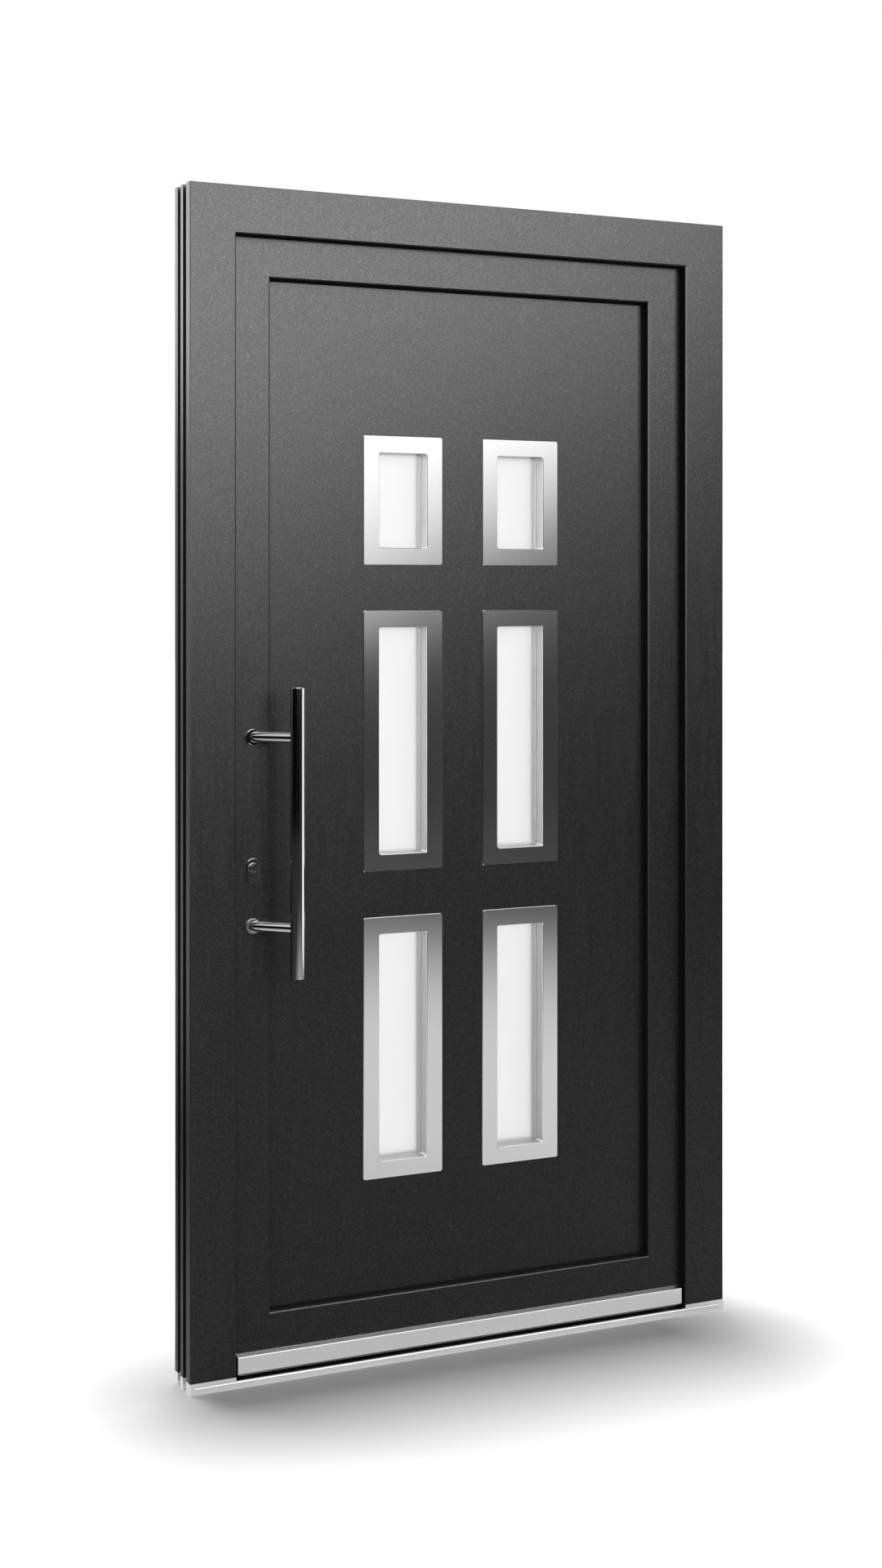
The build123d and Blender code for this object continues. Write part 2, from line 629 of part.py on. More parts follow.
def bolt_slot(x_range, z):
    """Room for a latch or bolt to pass between the leaf's edge and the frame."""
    depth_range = (BOLT_DEPTH - BOLT_SLOT_WIDTH / 2, BOLT_DEPTH + BOLT_SLOT_WIDTH / 2)
    return block(x_range, depth_range, (z - BOLT_SLOT_HEIGHT / 2, z + BOLT_SLOT_HEIGHT / 2))


def lock_strip():
    """Metal strip of the lock, flush in the groove down the leaf's edge, slotted for its bolts."""
    edge = -LEAF_SIDE + FLANGE
    x_range = (edge, edge + LOCK_GROOVE_DEPTH)
    depth_range = (BOLT_DEPTH - LOCK_GROOVE_WIDTH / 2, BOLT_DEPTH + LOCK_GROOVE_WIDTH / 2)
    low = LEAF_RAIL_BASE + LOCK_STRIP_MARGIN
    high = LEAF_TOP - FLANGE - LOCK_STRIP_MARGIN
    solid = block(x_range, depth_range, (low, high))
    for z in BOLT_HEIGHTS:
        solid -= bolt_slot(x_range, z)
    return solid


def keep(height, length):
    """Strike plate on the frame's rebate, slotted for the bolts and bevelled where they strike."""
    wall = -HALF_WIDTH + REBATE
    x_range = (wall, wall + KEEP_THICKNESS)
    depth_range = (BOLT_DEPTH - KEEP_WIDTH / 2, BOLT_DEPTH + KEEP_WIDTH / 2)
    solid = block(x_range, depth_range, (height - length / 2, height + length / 2))
    lead_in = solid.edges().filter_by(Axis.Z).group_by(Axis.Y)[-1].sort_by(Axis.X)[-1]
    solid = chamfer(lead_in, KEEP_LEAD_IN)
    for z in BOLT_HEIGHTS:
        if abs(z - height) < length / 2:
            solid -= bolt_slot(x_range, z)
    return solid


def keeps():
    """The three strike plates."""
    places = [(LOWER_KEEP, END_KEEP_LENGTH), (MIDDLE_KEEP, MIDDLE_KEEP_LENGTH), (UPPER_KEEP, END_KEEP_LENGTH)]
    return [keep(*place) for place in places]


def upright_disc(radius, z_range):
    """Cylinder on the hinge axis between two heights."""
    centre = (HINGE_X, y_at(HINGE_DEPTH), sum(z_range) / 2)
    return Pos(*centre) * Cylinder(radius, z_range[1] - z_range[0])


def hinge_plate(x_range, front, z):
    """Flat plate of a hinge half, with its corners cut off."""
    centre = Pos(sum(x_range) / 2, z)
    outline = chamfer((centre * Rectangle(x_range[1] - x_range[0], HINGE_HEIGHT)).vertices(), HINGE_PLATE_CORNER)
    return plate(outline, (front, front + HINGE_PLATE))


def frame_hinge(z):
    """Hinge half on the frame: a plate, two knuckles and the pin between them."""
    half = HINGE_HEIGHT / 2
    inner = LEAF_KNUCKLE / 2 + KNUCKLE_GAP
    left = HINGE_X + FRAME_PLATE_INSET
    solid = hinge_plate((left, left + FRAME_PLATE_WIDTH), FRAME_DEPTH, z)
    solid += upright_disc(PIN_RADIUS, (z - half, z + half))
    for z_range in ((z - half, z - inner), (z + inner, z + half)):
        solid += upright_disc(KNUCKLE_RADIUS, z_range)
        web = (HINGE_X + KNUCKLE_RADIUS - HINGE_WEB, HINGE_X + KNUCKLE_RADIUS)
        solid += block(web, (FRAME_DEPTH, HINGE_DEPTH), z_range)
    return solid


def leaf_hinge(z):
    """Hinge half on the leaf: a plate and the middle knuckle, bored for the pin."""
    right = LEAF_SIDE - LEAF_PLATE_INSET
    knuckle = (z - LEAF_KNUCKLE / 2, z + LEAF_KNUCKLE / 2)
    solid = hinge_plate((right - LEAF_PLATE_WIDTH, right), LEAF_BACK, z)
    solid += block((right, HINGE_X), (LEAF_BACK, LEAF_BACK + HINGE_STAND_OFF), knuckle)
    solid += upright_disc(KNUCKLE_RADIUS, knuckle)
    return solid - upright_disc(PIN_RADIUS + PIN_CLEARANCE, knuckle)


def build():
    """Every piece of the door by node name."""
    nodes = {
        "frame_jamb_lock": frame_member("lock"),
        "frame_jamb_hinge": frame_member("hinge"),
        "frame_head": frame_member("top"),
        "frame_gasket": frame_gasket(),
        "threshold_outer": threshold_outer(),
        "threshold_break": threshold_break(),
        "threshold_inner": threshold_inner(),
        "threshold_end_blocks": [end_block(-1), end_block(1)],
        "lock_keeps": keeps(),
        "leaf_stile_lock": lock_stile(),
        "leaf_stile_hinge": leaf_member("hinge"),
        "leaf_top_rail": leaf_member("top"),
        "leaf_bottom_rail": leaf_member("bottom"),
        "leaf_seals": [flange_seal(), foot_seal()],
        "glazing_gasket": glazing_gasket(),
        "glazing_beads_sides": [bead("lock"), bead("hinge")],
        "glazing_beads_ends": [bead("top"), bead("bottom")],
        "panel_outer_skin": panel_layer((PANEL_FRONT, PANEL_FRONT + PANEL_SKIN), True),
        "panel_core": panel_core(),
        "panel_inner_skin": panel_layer((PANEL_BACK - PANEL_SKIN, PANEL_BACK), False),
        "weather_bar": weather_bar(),
        "pull_handle": pull_handle(),
        "pull_rosettes": [rosette(z) for z in post_heights()],
        "escutcheon_outer": outer_escutcheon(),
        "lock_cylinder": lock_cylinder(),
        "lock_strip": lock_strip(),
        "inner_handle_plate": inner_plate(),
        "inner_handle_lever": inner_lever(),
    }
    for name, row, x, z, height in window_places():
        nodes[f"window_trim_{name}"] = outer_trim(x, z, height)
        nodes.setdefault(f"inner_trims_{row}", []).append(inner_trim(x, z, height))
        nodes.setdefault("glass_outer_panes", []).append(pane(x, z, height, GLASS_FRONT))
        nodes.setdefault("glass_inner_panes", []).append(pane(x, z, height, GLASS_BACK - PANE))
        nodes.setdefault("glass_spacers", []).append(spacer(x, z, height))
    for name, z in HINGE_HEIGHTS.items():
        nodes[f"hinge_frame_{name}"] = frame_hinge(z)
        nodes[f"hinge_leaf_{name}"] = leaf_hinge(z)
    return nodes


def write(nodes):
    """Write one STEP file for each node."""
    os.makedirs("parts", exist_ok=True)
    for name, pieces in nodes.items():
        if isinstance(pieces, list):
            pieces = Compound(children=pieces)
        export_step(pieces, f"parts/{name}.step")


write(build())
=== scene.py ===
"""Looks of the entrance door: finishes, small fittings, floor, light and camera.

Lengths are in metres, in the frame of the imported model: X across, +Y indoors, +Z up.
"""
import bmesh
import bpy
import json
import math
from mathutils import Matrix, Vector

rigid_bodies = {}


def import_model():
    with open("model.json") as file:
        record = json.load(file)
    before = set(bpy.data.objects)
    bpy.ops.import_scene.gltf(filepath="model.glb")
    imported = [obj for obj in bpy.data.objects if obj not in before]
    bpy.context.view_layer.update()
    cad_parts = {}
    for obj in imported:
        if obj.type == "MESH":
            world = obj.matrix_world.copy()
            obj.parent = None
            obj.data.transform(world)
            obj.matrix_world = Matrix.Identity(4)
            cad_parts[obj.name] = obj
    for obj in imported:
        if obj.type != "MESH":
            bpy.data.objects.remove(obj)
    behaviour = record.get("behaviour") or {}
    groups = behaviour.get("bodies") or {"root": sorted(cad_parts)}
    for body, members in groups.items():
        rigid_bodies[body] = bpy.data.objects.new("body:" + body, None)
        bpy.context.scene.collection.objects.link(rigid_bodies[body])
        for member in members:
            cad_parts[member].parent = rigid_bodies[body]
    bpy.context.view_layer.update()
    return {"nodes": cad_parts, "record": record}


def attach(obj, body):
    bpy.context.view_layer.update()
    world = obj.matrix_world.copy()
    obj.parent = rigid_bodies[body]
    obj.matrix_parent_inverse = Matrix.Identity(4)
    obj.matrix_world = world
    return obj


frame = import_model()

# Camera, fitted to the photograph's upright and level edges
CAMERA_PLACE = (-1.7755, -3.6547, 1.3847)
CAMERA_TURN = math.radians(-25.359)
CAMERA_LENS = 50.44
CAMERA_SENSOR = 36
CAMERA_SHIFT = -0.1207

# Finishes. A stretch under 1 draws a texture out along that axis.
EVEN = (1, 1, 1)
NOISE_SPAN = (0.3, 0.7)
BUMP_HEIGHT = 0.0001
BUMP_STRENGTH = 0.4
DOT_EDGE = (0.12, 0.45)
DOT_PICK = (0.42, 0.92)
FOIL_DARK = (0.0092, 0.0095, 0.01)
FOIL_PALE = (0.011, 0.0113, 0.0118)
FOIL_ROUGHNESS = (0.28, 0.32)
FOIL_GLOSS = 0.25
FOIL_PLAIN_GLOSS = 0.2
FOIL_FADE = 0.14
PORE_SCALE = 1000
PORE_STRETCH = 0.6
# The pores' lighter base colour is a painted glint; their higher gloss is the foil's own.
PORE_GLINT_LEVEL = 0.09
GRAIN_SCALE = 150
GRAIN_STRETCH = 0.04
SKIN_SCALE = 420
TRIM_SCALE = 900
TRIM_FACE_GREY = (0.75, 0.78)
TRIM_FACE_ROUGHNESS = (0.11, 0.13)
# The sleeves' darker grey is painted shade of the window recess.
TRIM_SLEEVE_SHADE_GREY = 0.52
TRIM_SLEEVE_ROUGHNESS = 0.42
TRIM_SLEEVE_START = 0.001
PLASTIC_SCALE = 500
PLASTIC_DULL = 0.8
PLASTIC_SPREAD = 0.06
GLASS_SCALE = 60
GLASS_DULL = 0.995
GLASS_INDEX = 1.5

# Floor, dark surround and light
FLOOR_SIZE = 80
FLOOR_CENTRE = (0.3, -1.8, 0.0)
FLOOR_BRIGHT = 1.2
FLOOR_DARK = 4.4
FLOOR_LEVELS = (0.7, 0.04)
BEHIND_SPAN = (1.0, 4.0)
BEHIND_LEVEL = 0.6
# Painted shadow: inside a block round the door's foot the camera sees the floor without its white lift, a
# painted contact shadow over the real one; the lift grows to full over the reach.
PAINTED_SHADOW_CENTRE = (-0.06, -0.075, 0.0)
PAINTED_SHADOW_HALF = (0.44, 0.035, 1.0)
PAINTED_SHADOW_REACH = 0.5
SHADOW_FLOOR = 0.5
# In reflections the floor glows, a painted reflection: paler close in front of the door and behind it, and
# paler still near the door's foot, where the weather bar and threshold mirror it.
MIRRORED_GLOW = 0.33
CLOSE_GLOW = 0.18
CLOSE_REACH = 0.8
SCREEN_RADIUS = 9
SCREEN_STEPS = 32
SCREEN_GREY = 0.005
SCREEN_FRONT_HEIGHT = 2.5
SCREEN_LEFT_HEIGHT = 6.0
WORLD_LEVEL = 0.6
KEY_PLACE = (0.6, -6.0, 4.2)
KEY_AIM = (0.6, 0.0, 4.2)
KEY_SIZE = (9.2, 6.1)
KEY_RADIANCE = 18.8
KEY_LEAN = 0.45
KEY_LEAST = (1.3, -100, 0)
KEY_MIDDLE = 2.6
KEY_STOPS = ((1.0, 0.01), (1.3, 0.04), (1.6, 0.1), (2.1, 0.19),
             (2.5, 0.66), (3.0, 0.77), (3.5, 0.71), (4.2, 0.66))
METAL_RADIANCE = 1.4
METAL_STOPS = ((1.0, 0.06), (1.3, 0.19), (1.6, 0.62), (1.9, 0.88), (2.2, 0.95), (4.2, 1.0))
LOW_RADIANCE = 0.035
SIDE_RADIANCE = 8.0
TOP_RADIANCE = 5.0
CEILING_RADIANCE = 0.3
RIM_RADIANCE = 4.0
STRIP_RADIANCE = 1.7

# Small fittings, in millimetres and radians, with depths behind the frame's outdoor face
MM = 0.001
FRAME_MIDDLE = 41
SHARP_ANGLE = 0.6
ROUND_STEPS = 24
SCREW_ROOT = 0.3
SCREW_DOME = ((1.0, 0.35), (0.92, 0.7), (0.75, 0.95), (0.6, 1.0))
SOCKET_SHARE = 0.48
SOCKET_TAPER = 0.92
SOCKET_FLOOR = 0.1
SOCKET_SIDES = 6
HINGE_HEIGHTS = (230, 1050, 1870)
HINGE_X = 502
HINGE_DEPTH = 112
HINGE_HALF = 50
HINGE_SCREW_RISES = (-34, 0, 34)
HINGE_SCREW_RADIUS = 3.6
FRAME_SCREW_X = 524
FRAME_PLATE_FACE = 86
LEAF_SCREW_X = 463
LEAF_SCREW_STAGGER = 6
LEAF_PLATE_FACE = 107
CAP_PROFILE = ((8.6, -0.2), (8.6, 1.0), (7.8, 2.0), (5.6, 2.8), (2.6, 3.2))
BOLT_DEPTH = 60
BOLT_SLOT_HALF = 20
BOLT_PLAY = 0.5
BOLT_HEIGHTS = (290, 905, 997, 1790)
BOLT_ROOT = 2.9
BOLT_PROUD = 0.4
BOLT_HALF_WIDTH = 4.6
BOLT_SLANT = 0.4
BOLT_BEVEL = 0.35
LATCH_HEIGHT = 997
LATCH_SLANT = 2.4
KEEP_FACE_X = -479.5
KEEP_SCREW_HEIGHTS = (257, 323, 853, 951, 1049, 1757, 1823)
KEEP_SCREW = (4.0, 0.7)
LOCK_EDGE_X = -470
STRIP_SCREW_HEIGHTS = (165, 430, 640, 830, 1080, 1320, 1560, 1890)
STRIP_SCREW = (3.6, 0.6)
LOCK_X = -420
CYLINDER_HEIGHT = 905
CYLINDER_FRONT = 14
CYLINDER_BACK = 116
PLUG_PROFILE = ((5.4, -0.2), (5.4, 0.06), (5.3, 0.1), (5.2, 0.1))
KEYWAY_SHADE_RINGS = ((0.7, 3.4, -0.2, 0), (0.7, 3.4, 0.12, 0), (0.6, 3.3, 0.15, 0), (0.5, 3.2, 0.15, 0))
INNER_PLATE_FACE = 113
PLATE_SCREW_HEIGHTS = (874, 1083)
PLATE_SCREW = (4.2, 1.2)
DRIP_DEPTH = 12.4
DRIP_THICKNESS = 2.6
DRIP_WEB = 0.8
DRIP_STEP = 18.9
DRIP_STEP_FALL = 0.2
DRIP_TOP = 26
DRIP_FOOT = 17.2
DRIP_HALF = 448.5
DRIP_BEVEL = 0.15

INDOORS = Vector((0, 1, 0))
OUTDOORS = Vector((0, -1, 0))
RIGHTWARDS = Vector((1, 0, 0))
LEFTWARDS = Vector((-1, 0, 0))


class Graph:
    """The nodes of a material, a light or the world, with short ways to add and join them."""

    def __init__(self, tree):
        self.tree = tree

    def node(self, kind, **values):
        """New shader node, with its properties set."""
        node = self.tree.nodes.new("ShaderNode" + kind)
        for name, value in values.items():
            setattr(node, name, value)
        return node

    def join(self, socket, value):
        """Link an output to a socket, or set the socket to a plain value."""
        if isinstance(value, bpy.types.NodeSocket):
            self.tree.links.new(value, socket)
        else:
            socket.default_value = value

    def math(self, operation, first, second):
        """Result of an operation on two outputs or numbers."""
        node = self.node("Math", operation=operation)
        self.join(node.inputs[0], first)
        self.join(node.inputs[1], second)
        return node.outputs["Value"]

    def vector(self, operation, first, second=None):
        """Result of an operation on one or two vectors, as a vector or, for a length, a number."""
        node = self.node("VectorMath", operation=operation)
        self.join(node.inputs[0], first)
        if second is not None:
            self.join(node.inputs[1], second)
        measured = operation in ("DISTANCE", "DOT_PRODUCT", "LENGTH")
        return node.outputs["Value" if measured else "Vector"]

    def span(self, value, start, end, low=0.0, high=1.0, blend="LINEAR"):
        """Number that runs from low to high while a value runs from start to end."""
        node = self.node("MapRange", interpolation_type=blend)
        self.join(node.inputs["Value"], value)
        self.join(node.inputs["From Min"], start)
        self.join(node.inputs["From Max"], end)
        self.join(node.inputs["To Min"], low)
        self.join(node.inputs["To Max"], high)
        return node.outputs["Result"]


class Finish(Graph):
    """A material of the door, built round its main shader."""

    def __init__(self, name):
        self.material = bpy.data.materials.new(name)
        self.material.use_nodes = True
        super().__init__(self.material.node_tree)
        self.shader = self.tree.nodes["Principled BSDF"]
        self.place = self.node("TexCoord").outputs["Object"]

    def set(self, **values):
        """Set sockets of the shader by name, with underscores for spaces."""
        for name, value in values.items():
            self.shader.inputs[name.replace("_", " ")].default_value = value

    def feed(self, output, socket):
        """Join an output to one of the shader's sockets."""
        self.join(self.shader.inputs[socket], output)

    def texture(self, kind, scale, stretch):
        """Texture over the object's own coordinates."""
        mapping = self.node("Mapping")
        self.join(mapping.inputs["Scale"], stretch)
        self.join(mapping.inputs["Vector"], self.place)
        texture = self.node(kind)
        self.join(texture.inputs["Scale"], scale)
        self.join(texture.inputs["Vector"], mapping.outputs["Vector"])
        return texture

    def noise(self, scale, detail=3, stretch=EVEN):
        """Soft noise with finer noise laid over it."""
        texture = self.texture("TexNoise", scale, stretch)
        self.join(texture.inputs["Detail"], detail)
        return texture.outputs["Fac"]

    def dots(self, scale, stretch):
        """Scattered dots of uneven size and brightness."""
        cells = self.texture("TexVoronoi", scale, stretch)
        near = self.ramp(cells.outputs["Distance"], 1.0, 0.0, *DOT_EDGE)
        some = self.ramp(cells.outputs["Color"], 0.0, 1.0, *DOT_PICK)
        return self.mixed("MULTIPLY", near, some)

    def ramp(self, factor, low, high, start, end):
        """Colours or greys from low to high while the factor runs from start to end."""
        ramp = self.node("ValToRGB")
        for element, place, colour in zip(ramp.color_ramp.elements, (start, end), (low, high)):
            if not isinstance(colour, tuple):
                colour = (colour, colour, colour)
            element.position = place
            element.color = (*colour, 1)
        self.join(ramp.inputs["Fac"], factor)
        return ramp.outputs["Color"]

    def varied(self, noise, low, high):
        """Colours or greys from low to high over the middle of a noise's range."""
        return self.ramp(noise, low, high, *NOISE_SPAN)

    def mixed(self, blend, first, second):
        """Sum or product of two colours or greys."""
        mix = self.node("Mix", data_type="RGBA", blend_type=blend)
        self.join(mix.inputs["Factor"], 1)
        self.join(mix.inputs["A"], first)
        self.join(mix.inputs["B"], second)
        return mix.outputs["Result"]

    def between(self, factor, first, grey):
        """From a colour to a plain grey as the factor runs from 0 to 1."""
        mix = self.node("Mix", data_type="RGBA")
        self.join(mix.inputs["Factor"], factor)
        self.join(mix.inputs["A"], first)
        self.join(mix.inputs["B"], (grey, grey, grey, 1))
        return mix.outputs["Result"]

    def bump(self, height):
        """Raise the surface a little by a height map."""
        bump = self.node("Bump")
        self.join(bump.inputs["Strength"], BUMP_STRENGTH)
        self.join(bump.inputs["Distance"], BUMP_HEIGHT)
        self.join(bump.inputs["Height"], height)
        self.feed(bump.outputs["Normal"], "Normal")


def shaded(colour, share):
    """Darker tone of a colour."""
    return tuple(share * value for value in colour)


def foil(name, along, sparkle=0.64, dull_from=0.62):
    """Anthracite woodgrain foil: fine glossy pores painted lighter as glints, faint streaks, and no gloss
    seen edge-on.
    """
    finish = Finish(name)
    pores = (1, 1, PORE_STRETCH) if along == "Z" else (PORE_STRETCH, 1, 1)
    streaks = (1, 1, GRAIN_STRETCH) if along == "Z" else (GRAIN_STRETCH, 1, 1)
    speckle = finish.dots(PORE_SCALE, pores)
    grain = finish.noise(GRAIN_SCALE, stretch=streaks)
    dark = finish.varied(grain, FOIL_DARK, FOIL_PALE)
    painted_glints = finish.ramp(speckle, 0.0, PORE_GLINT_LEVEL, 0.0, 1.0)
    finish.feed(finish.mixed("ADD", dark, painted_glints), "Base Color")
    slant = finish.node("LayerWeight")
    slant.inputs["Blend"].default_value = 0.5
    gloss = finish.ramp(speckle, FOIL_PLAIN_GLOSS, sparkle, 0.0, 1.0)
    shown = finish.ramp(slant.outputs["Facing"], 1.0, 0.0, dull_from, dull_from + FOIL_FADE)
    finish.set(Specular_IOR_Level=FOIL_GLOSS)
    finish.feed(finish.mixed("MULTIPLY", gloss, shown), "Specular IOR Level")
    finish.feed(finish.varied(grain, *FOIL_ROUGHNESS), "Roughness")
    finish.bump(finish.noise(SKIN_SCALE, stretch=pores))
    return finish.material


def metal(name, colour, roughness, spread, scale=900, stretch=EVEN, dull=0.96):
    """Satin or polished metal with a slightly uneven surface."""
    finish = Finish(name)
    finish.set(Metallic=1.0)
    uneven = finish.noise(scale, stretch=stretch)
    finish.feed(finish.varied(uneven, shaded(colour, dull), colour), "Base Color")
    finish.feed(finish.varied(uneven, roughness - spread, roughness + spread), "Roughness")
    return finish.material


def trim_steel():
    """Smooth satin steel on the trims' faces, rougher on the sleeves behind them and painted a darker grey
    there as shade of the window recess.
    """
    finish = Finish("trim_steel")
    finish.set(Metallic=1.0)
    depth = finish.node("SeparateXYZ")
    finish.join(depth.inputs["Vector"], finish.place)
    inside = finish.span(depth.outputs["Y"], 0.0, TRIM_SLEEVE_START)
    uneven = finish.noise(TRIM_SCALE)
    face = finish.varied(uneven, *TRIM_FACE_GREY)
    finish.feed(finish.between(inside, face, TRIM_SLEEVE_SHADE_GREY), "Base Color")
    smooth = finish.varied(uneven, *TRIM_FACE_ROUGHNESS)
    finish.feed(finish.between(inside, smooth, TRIM_SLEEVE_ROUGHNESS), "Roughness")
    return finish.material


def plastic(name, colour, roughness, shine=0.5):
    """Dull plastic, rubber, paint or foam with a fine uneven skin."""
    finish = Finish(name)
    finish.set(Specular_IOR_Level=shine)
    uneven = finish.noise(PLASTIC_SCALE)
    finish.feed(finish.varied(uneven, shaded(colour, PLASTIC_DULL), colour), "Base Color")
    finish.feed(finish.varied(uneven, roughness - PLASTIC_SPREAD, roughness + PLASTIC_SPREAD), "Roughness")
    finish.bump(uneven)
    return finish.material


def glass(name, colour, roughness, spread):
    """Sheet glass, clear or satin."""
    finish = Finish(name)
    finish.set(Transmission_Weight=1.0, IOR=GLASS_INDEX)
    haze = finish.noise(GLASS_SCALE, 2)
    finish.feed(finish.varied(haze, shaded(colour, GLASS_DULL), colour), "Base Color")
    finish.feed(finish.varied(haze, roughness, roughness + spread), "Roughness")
    return finish.material


def dress():
    """Give each node of the model its finish."""
    upright = foil("foil_upright", "Z")
    level = foil("foil_level", "X")
    upright_dull = foil("foil_upright_dull", "Z", sparkle=0.72, dull_from=0.32)
    aluminium = metal("satin_aluminium", colour=(0.78, 0.78, 0.785), roughness=0.24, spread=0.02,
                      scale=700, dull=0.86)
    finishes = {
        "frame_foil": upright,
        "leaf_foil": upright,
        "panel_foil": upright,
        "panel_foam": plastic("panel_foam", colour=(0.72, 0.71, 0.67), roughness=0.8),
        "rubber_seal": plastic("rubber", colour=(0.006, 0.006, 0.0064), roughness=0.7, shine=0.08),
        "threshold_metal": aluminium,
        "threshold_plastic": plastic("threshold_plastic", colour=(0.03, 0.03, 0.032), roughness=0.5),
        "weather_bar_metal": aluminium,
        "trim_steel": trim_steel(),
        "clear_glass": glass("clear_glass", colour=(0.997, 0.998, 0.998), roughness=0.36, spread=0.02),
        "satin_glass": glass("satin_glass", colour=(0.93, 0.932, 0.932), roughness=0.45, spread=0.1),
        "spacer_metal": metal("spacer_metal", colour=(0.52, 0.52, 0.522), roughness=0.42, spread=0.03,
                              scale=300),
        "handle_steel": metal("handle_steel", colour=(0.58, 0.58, 0.585), roughness=0.08, spread=0.01),
        "lock_metal": metal("lock_metal", colour=(0.52, 0.52, 0.52), roughness=0.09, spread=0.01),
        "hinge_metal": plastic("hinge_paint", colour=(0.03, 0.0305, 0.031), roughness=0.4),
    }
    finishes_by_node = {
        "frame_head": level,
        "leaf_top_rail": level,
        "leaf_bottom_rail": level,
        "glazing_beads_ends": level,
        "frame_jamb_hinge": upright_dull,
        "leaf_stile_hinge": upright_dull,
    }
    for part in frame["record"]["subparts"]:
        node = part["node"]
        finish = finishes_by_node.get(node, finishes[part["material_slot"]])
        paint(frame["nodes"][node], finish)


def paint(piece, finish):
    """Put one material on every slot of an object."""
    if not piece.material_slots:
        piece.data.materials.append(finish)
    for slot in piece.material_slots:
        slot.material = finish


def at(x, depth, z):
    """Point in metres, from millimetres across, behind the frame's outdoor face and up."""
    return Vector((x, depth - FRAME_MIDDLE, z)) * MM


def discs(profile):
    """Round rings of a turned form, from pairs of a radius and a rise."""
    return [(radius, radius, rise, 0) for radius, rise in profile]


class Fitting:
    """One small piece, put together from turned and extruded forms."""

    def __init__(self):
        self.mesh = bmesh.new()

    def turned(self, centre, axis, rings):
        """Form with rings round an axis, each a half-width, a half-height, a rise and its corners."""
        across = Vector((0, 0, 1)).cross(axis)
        if across.length < 0.5:
            across = Vector((1, 0, 0))
        upward = axis.cross(across)
        loops = []
        for wide, high, rise, corners in rings:
            loop = []
            for step in range(ROUND_STEPS):
                angle = 2 * math.pi * step / ROUND_STEPS
                reach = 1.0
                if corners:
                    side = math.pi / corners
                    reach = math.cos(side) / math.cos((angle % (2 * side)) - side)
                offset = across * wide * math.cos(angle) + upward * high * math.sin(angle)
                loop.append(self.mesh.verts.new(centre + (offset * reach + axis * rise) * MM))
            loops.append(loop)
        for lower, upper in zip(loops, loops[1:]):
            for step in range(ROUND_STEPS):
                after = (step + 1) % ROUND_STEPS
                self.mesh.faces.new((lower[step], lower[after], upper[after], upper[step]))
        self.mesh.faces.new(loops[0])
        self.mesh.faces.new(loops[-1])

    def extruded(self, outline, offset, bevel):
        """Straight form from a flat outline, with its edges bevelled."""
        start = [self.mesh.verts.new(point) for point in outline]
        end = [self.mesh.verts.new(point + offset) for point in outline]
        faces = [self.mesh.faces.new(start), self.mesh.faces.new(end)]
        for i in range(len(outline)):
            after = (i + 1) % len(outline)
            faces.append(self.mesh.faces.new((start[i], start[after], end[after], end[i])))
        edges = list({edge for face in faces for edge in face.edges})
        bmesh.ops.bevel(self.mesh, geom=edges, offset=bevel * MM, segments=2, profile=0.5, affect="EDGES")

    def screw(self, centre, axis, radius, height=1.0):
        """Low domed head with a six-sided socket."""
        head = [(radius, -SCREW_ROOT)]
        head += [(share * radius, rise * height) for share, rise in SCREW_DOME]
        socket = SOCKET_SHARE * radius
        floor = SOCKET_TAPER * socket
        self.turned(centre, axis, discs(head) + [
            (socket, socket, height, SOCKET_SIDES),
            (floor, floor, SOCKET_FLOOR * height, SOCKET_SIDES),
        ])

    def finish(self, name, body, slot, material):
        """Make the object, smooth where it is round, and let it ride on its body."""
        bmesh.ops.recalc_face_normals(self.mesh, faces=self.mesh.faces)
        for face in self.mesh.faces:
            face.smooth = True
        for edge in self.mesh.edges:
            edge.smooth = len(edge.link_faces) == 2 and edge.calc_face_angle() < SHARP_ANGLE
        data = bpy.data.meshes.new(name)
        self.mesh.to_mesh(data)
        self.mesh.free()
        piece = bpy.data.objects.new(name, data)
        bpy.context.scene.collection.objects.link(piece)
        paint(piece, material)
        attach(piece, body)


def make_hinge_fittings(dark):
    """Screws and end caps of the hinges."""
    frame_screws = Fitting()
    leaf_screws = Fitting()
    caps = Fitting()
    for height in HINGE_HEIGHTS:
        for rise in HINGE_SCREW_RISES:
            z = height + rise
            leaf_x = LEAF_SCREW_X + (LEAF_SCREW_STAGGER if rise else -LEAF_SCREW_STAGGER)
            frame_screws.screw(at(FRAME_SCREW_X, FRAME_PLATE_FACE, z), INDOORS, HINGE_SCREW_RADIUS)
            leaf_screws.screw(at(leaf_x, LEAF_PLATE_FACE, z), INDOORS, HINGE_SCREW_RADIUS)
        for side in (-1, 1):
            end = at(HINGE_X, HINGE_DEPTH, height + side * HINGE_HALF)
            caps.turned(end, Vector((0, 0, side)), discs(CAP_PROFILE))
    frame_screws.finish("hinge_screws_frame", "frame", "hinge_metal", dark)
    leaf_screws.finish("hinge_screws_leaf", "leaf", "hinge_metal", dark)
    caps.finish("hinge_caps", "frame", "hinge_metal", dark)


